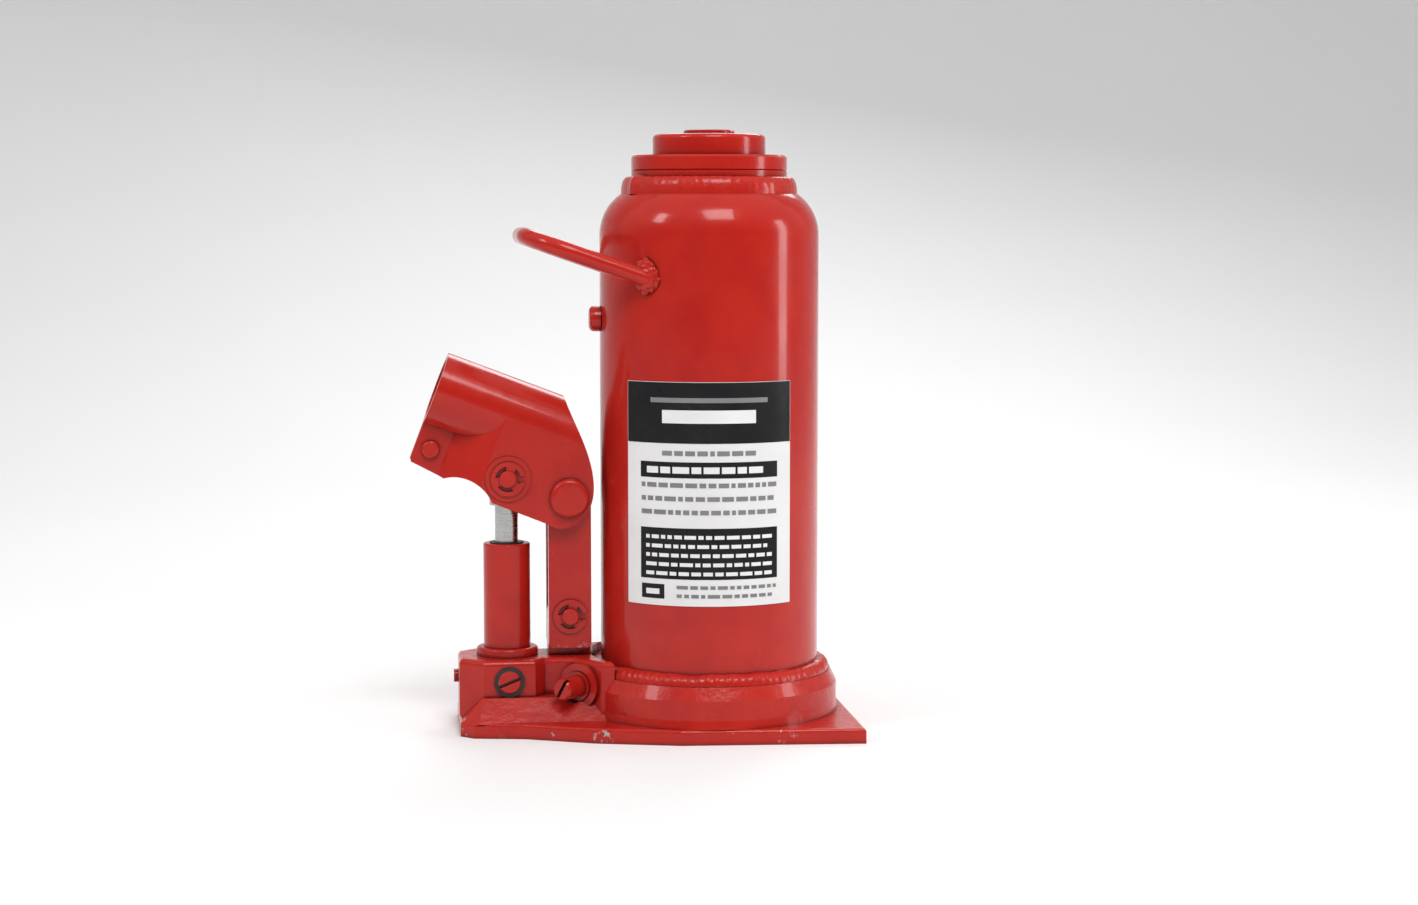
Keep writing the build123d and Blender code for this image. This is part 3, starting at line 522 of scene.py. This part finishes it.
def make_handle_welds():
    """Two lumpy fillets where the carry handle's ends meet the tank."""
    low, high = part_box("carry_handle_welds")
    deep, wide, tall = HANDLE_WELD_HALF
    for side, name in ((-1, "handle_weld_front"), (1, "handle_weld_back")):
        form = bmesh.new()
        bmesh.ops.create_icosphere(form, subdivisions=5, radius=1.0)
        turn = math.atan2(side * HANDLE_END_Y, HANDLE_END_X)
        outward = Vector((math.cos(turn), math.sin(turn), 0))
        sideways = Vector((-math.sin(turn), math.cos(turn), 0))
        middle = outward * (CASING_R + HANDLE_WELD_OUT)
        middle.z = (low.z + high.z) / 2 + HANDLE_WELD_UP
        for vert in form.verts:
            lump = noise.fractal(vert.co * 2.1 + Vector((side * 3.0, 0, 0)), 1.0, 2.0, 3)
            point = vert.co * (1 + HANDLE_WELD_LUMP * lump)
            vert.co = middle + outward * point.x * deep + sideways * point.y * wide
            vert.co.z += point.z * tall
        mesh = bpy.data.meshes.new(name)
        form.to_mesh(mesh)
        form.free()
        smooth(mesh, 80)
        mesh.materials.append(ENAMEL_WELD)
        piece = new_object(name, mesh, "root")
        if side < 0:
            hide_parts("carry_handle_welds")


# ---------- extension screw ----------
def crest(phase):
    """Trapezium thread: 1 on the crest, 0 in the root."""
    wave = abs(2 * (phase % 1.0) - 1)
    return min(1.0, max(0.0, (wave - 0.28) / 0.40))


def screw_radius(height, share):
    """The screw's radius at a height and at a share of a turn round it."""
    if RING_LOW - GROOVE_ROOM < height < RING_HIGH + GROOVE_ROOM:
        return GROOVE_R
    phase = (height - SCREW_FOOT) / THREAD_PITCH - share
    thread = SCREW_R - THREAD_CLEAR - THREAD_DEPTH * (1 - crest(phase))
    fade = min(1.0, (height - SCREW_FOOT) / FOOT_TAPER_TALL)
    return min(thread, SCREW_R - FOOT_TAPER + (FOOT_TAPER - THREAD_CLEAR) * fade)


def make_screw():
    """The extension screw: thread, the stop ring's groove, a tapered foot and the head's boss."""
    verts = []
    rows = int((THREAD_TOP - SCREW_FOOT) / THREAD_PITCH * ROWS_PER_TURN)
    for row in range(rows + 1):
        height = SCREW_FOOT + (THREAD_TOP - SCREW_FOOT) * row / rows
        for step in range(SCREW_STEPS):
            radius = screw_radius(height, step / SCREW_STEPS)
            verts.append(polar(radius, 2 * math.pi * step / SCREW_STEPS, height))
    head = (
        (HEAD_R, THREAD_TOP),
        (HEAD_R, SCREW_TOP - HEAD_EDGE),
        (HEAD_R - HEAD_EDGE, SCREW_TOP),
        (HEAD_R * 0.45, SCREW_TOP),
        (HEAD_R * 0.38, SCREW_TOP - DIMPLE_DEPTH),
    )
    for radius, height in head:
        for step in range(SCREW_STEPS):
            verts.append(polar(radius, 2 * math.pi * step / SCREW_STEPS, height))
    last = rows + len(head)
    faces = []
    for row in range(last):
        here = row * SCREW_STEPS
        above = here + SCREW_STEPS
        for step in range(SCREW_STEPS):
            after = (step + 1) % SCREW_STEPS
            faces.append((here + step, here + after, above + after, above + step))
    faces.append(tuple(reversed(range(SCREW_STEPS))))
    faces.append(tuple(last * SCREW_STEPS + step for step in range(SCREW_STEPS)))
    mesh = mesh_from("threaded_screw", verts, faces)
    tidy_normals(mesh)
    smooth(mesh, 32)
    mesh.materials.append(STEEL)
    mesh.materials.append(ENAMEL_PART)
    for polygon in mesh.polygons:
        if polygon.center.z > THREAD_TOP + 0.0001:
            polygon.material_index = 1
    piece = new_object("threaded_screw", mesh, "screw")
    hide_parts("extension_screw")


# ---------- label ----------
def add_plate(verts, faces, area, lift):
    """Adds a thin curved plate on the label's face.

    area is where it starts and ends across, in metres of arc from the label's middle, and
    then its lowest and highest z. lift is its thickness."""
    across_low, across_high, low, high = area
    pieces = max(2, int((across_high - across_low) / PRINT_STEP))
    radius = LABEL_R + lift
    first = len(verts)
    for k in range(pieces + 1):
        across = across_low + (across_high - across_low) * k / pieces
        turn = LABEL_ANGLE + across / LABEL_R
        for depth in (0.0, lift):
            for height in (low, high):
                verts.append(polar(radius - depth, turn, height))
    for k in range(pieces):
        a = first + 4 * k
        b = a + 4
        faces.append((a, b, b + 1, a + 1))
        faces.append((a + 2, a + 3, b + 3, b + 2))
        faces.append((a, a + 2, b + 2, b))
        faces.append((a + 1, b + 1, b + 3, a + 3))
    last = first + 4 * pieces
    faces.append((first, first + 1, first + 3, first + 2))
    faces.append((last, last + 2, last + 3, last + 1))


def print_layer(name, look, areas, lift):
    """One ink of the label's print: all its plates in one piece."""
    verts = []
    faces = []
    for area in areas:
        add_plate(verts, faces, area, lift)
    mesh = mesh_from(name, verts, faces)
    tidy_normals(mesh)
    smooth(mesh, 30)
    mesh.materials.append(look)
    new_object(name, mesh, "root")


def word_rows(left, right, first, tall, rows, step, words):
    """Rows of plain bars of uneven length, from the top down, that stand for small print."""
    shortest, longest = words
    bars = []
    for row in range(rows):
        low = first - row * step
        place = left
        while place < right - shortest:
            reach = min(random.uniform(shortest, longest), right - place)
            bars.append((place, place + reach, low, low + tall))
            place += reach + WORD_GAP
    return bars


def make_label_print():
    """A black banner, title and notice, with bars for the words, and no lettering."""
    edge = LABEL_HALF * LABEL_R - PRINT_MARGIN
    banner = (-edge, edge, BANNER_FOOT, LABEL_TOP - PRINT_MARGIN)
    white = [BANNER_BAR]
    for row in WHITE_ROWS:
        white += word_rows(*row)
    white.append(SIGN_BAR)
    grey = [BANNER_LINE]
    for row in GREY_ROWS:
        grey += word_rows(*row)
    print_layer("label_black_areas", INK_BLACK, [banner, TITLE, NOTICE, SIGN], BLACK_LIFT)
    print_layer("label_white_bars", INK_WHITE, white, WHITE_LIFT)
    print_layer("label_grey_bars", INK_GREY, grey, GREY_LIFT)


# ---------- camera, light and floor ----------
def make_stage():
    """A pale paper floor that sweeps up into a wall behind the jack."""
    profile = [(y, 0.0) for y in FLOOR_ROWS]
    for k in range(1, SWEEP_STEPS + 1):
        bend = math.radians(90 * k / SWEEP_STEPS)
        y = FLOOR_ROWS[-1] + SWEEP_R * math.sin(bend)
        profile.append((y, SWEEP_R * (1 - math.cos(bend))))
    profile.append((FLOOR_ROWS[-1] + SWEEP_R, WALL_TOP))
    verts = []
    for y, z in profile:
        verts.append((-FLOOR_HALF, y, z))
        verts.append((FLOOR_HALF, y, z))
    faces = []
    for k in range(len(profile) - 1):
        faces.append((2 * k, 2 * k + 1, 2 * k + 3, 2 * k + 2))
    mesh = mesh_from("floor_sweep", verts, faces)
    for polygon in mesh.polygons:
        polygon.use_smooth = True
    m = Nodes("floor_paper")
    m.out("Base Color", m.blend(m.noise(3.0), PAPER_DARK, PAPER_LIGHT))
    m.set(Roughness=0.85)
    mesh.materials.append(m.material)
    floor = bpy.data.objects.new("floor_sweep", mesh)
    bpy.context.scene.collection.objects.link(floor)


def make_lamp(name, place, size, power):
    """A soft box that faces the middle of the jack."""
    light = bpy.data.lights.new(name, "AREA")
    light.shape = "RECTANGLE"
    light.size, light.size_y = size
    light.energy = power
    lamp = bpy.data.objects.new(name, light)
    bpy.context.scene.collection.objects.link(lamp)
    lamp.location = place
    lamp.rotation_euler = (Vector(LAMP_AIM) - Vector(place)).to_track_quat("-Z", "Y").to_euler()


def make_room():
    """A room that is dim in front and bright overhead and behind."""
    world = bpy.data.worlds.new("studio")
    bpy.context.scene.world = world
    world.use_nodes = True
    tree = world.node_tree
    background = tree.nodes["Background"]
    background.inputs["Strength"].default_value = 1.0
    way = tree.nodes.new("ShaderNodeTexCoord")
    split = tree.nodes.new("ShaderNodeSeparateXYZ")
    tree.links.new(way.outputs["Generated"], split.inputs[0])
    lift = tree.nodes.new("ShaderNodeMath")
    lift.operation = "MULTIPLY_ADD"
    lift.inputs[1].default_value = SKY_LEAN
    tree.links.new(split.outputs["Y"], lift.inputs[0])
    tree.links.new(split.outputs["Z"], lift.inputs[2])
    ramp = tree.nodes.new("ShaderNodeMapRange")
    ramp.inputs["From Min"].default_value = SKY_FROM
    ramp.inputs["From Max"].default_value = SKY_TO
    ramp.inputs["To Min"].default_value = SKY_DARK
    ramp.inputs["To Max"].default_value = SKY_BRIGHT
    ramp.interpolation_type = "SMOOTHSTEP"
    tree.links.new(lift.outputs[0], ramp.inputs["Value"])
    tree.links.new(ramp.outputs["Result"], background.inputs["Color"])


def make_camera():
    """The photo's view: the label's side, from a little above and a little towards the pump."""
    data = bpy.data.cameras.new("camera")
    data.sensor_width = CAMERA_FILM
    data.lens = CAMERA_LENS
    data.clip_start = 0.05
    camera = bpy.data.objects.new("camera", data)
    bpy.context.scene.collection.objects.link(camera)
    camera.location = (-CAMERA_DISTANCE * math.sin(CAMERA_TURN),
                       -CAMERA_DISTANCE * math.cos(CAMERA_TURN), CAMERA_HEIGHT)
    camera.rotation_euler = (math.pi / 2 - CAMERA_PITCH, 0.0, -CAMERA_TURN)
    bpy.context.scene.camera = camera


make_camera()
bpy.context.scene.view_settings.view_transform = "Standard"
make_room()
for lamp_values in LAMPS:
    make_lamp(*lamp_values)
make_stage()
dress_cad_nodes()
make_tank_welds()
make_handle_welds()
make_screw()
make_label_print()
